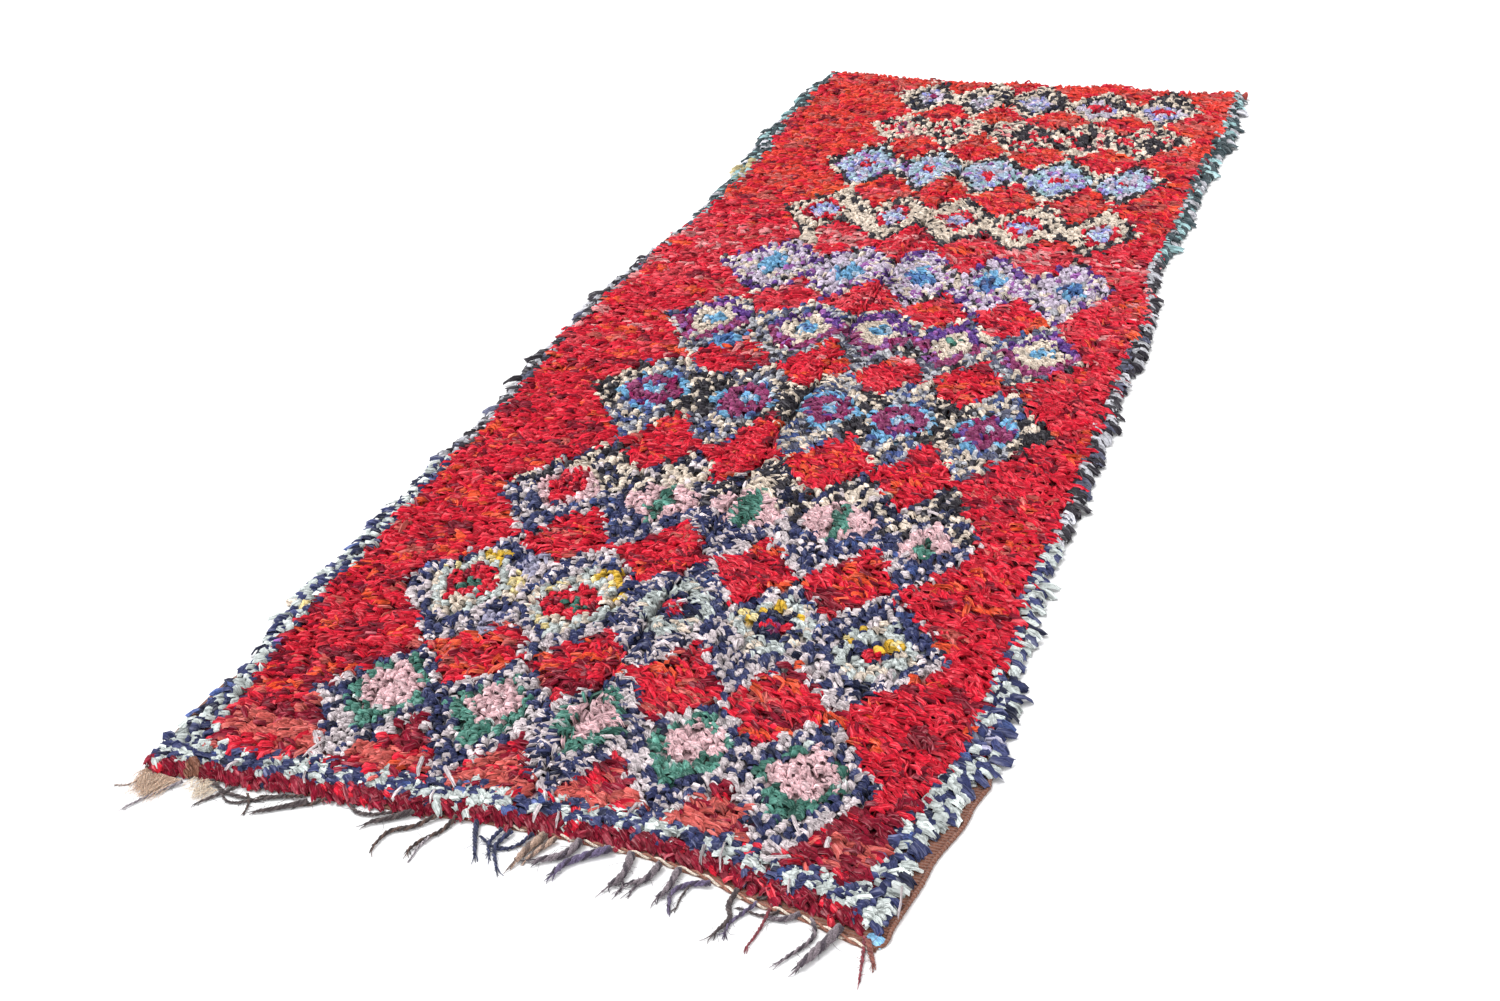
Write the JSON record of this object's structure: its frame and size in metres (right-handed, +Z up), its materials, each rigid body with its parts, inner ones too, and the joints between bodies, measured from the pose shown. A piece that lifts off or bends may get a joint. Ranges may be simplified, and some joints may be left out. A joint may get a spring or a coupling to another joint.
{
  "type": "boucherouite rug",
  "caption": "Long shag rug of knotted rag strips with a diamond lattice, lying flat, with a knotted fringe at one end and short tufts at the other.",
  "frame": {"origin": "middle of the rug's outline, on the floor under it", "axes": "+X across the rug, +Y along it away from the end with the long fringe, +Z up out of the pile"},
  "size_m": [1.2887, 3.2157, 0.0361],
  "materials": {
    "rag_pile": "matte crumpled cotton rag locks, mostly red with navy, white and mixed pastel diamonds",
    "ground_weave": "matte brown weft-faced wool weave",
    "fringe_yarn": "matte twisted wool yarn in charcoal, brown and grey"
  },
  "bodies": {
    "root": {"rug_body": "rag_pile", "fringe_near": "fringe_yarn", "fringe_far": "fringe_yarn"}
  },
  "joints": []
}
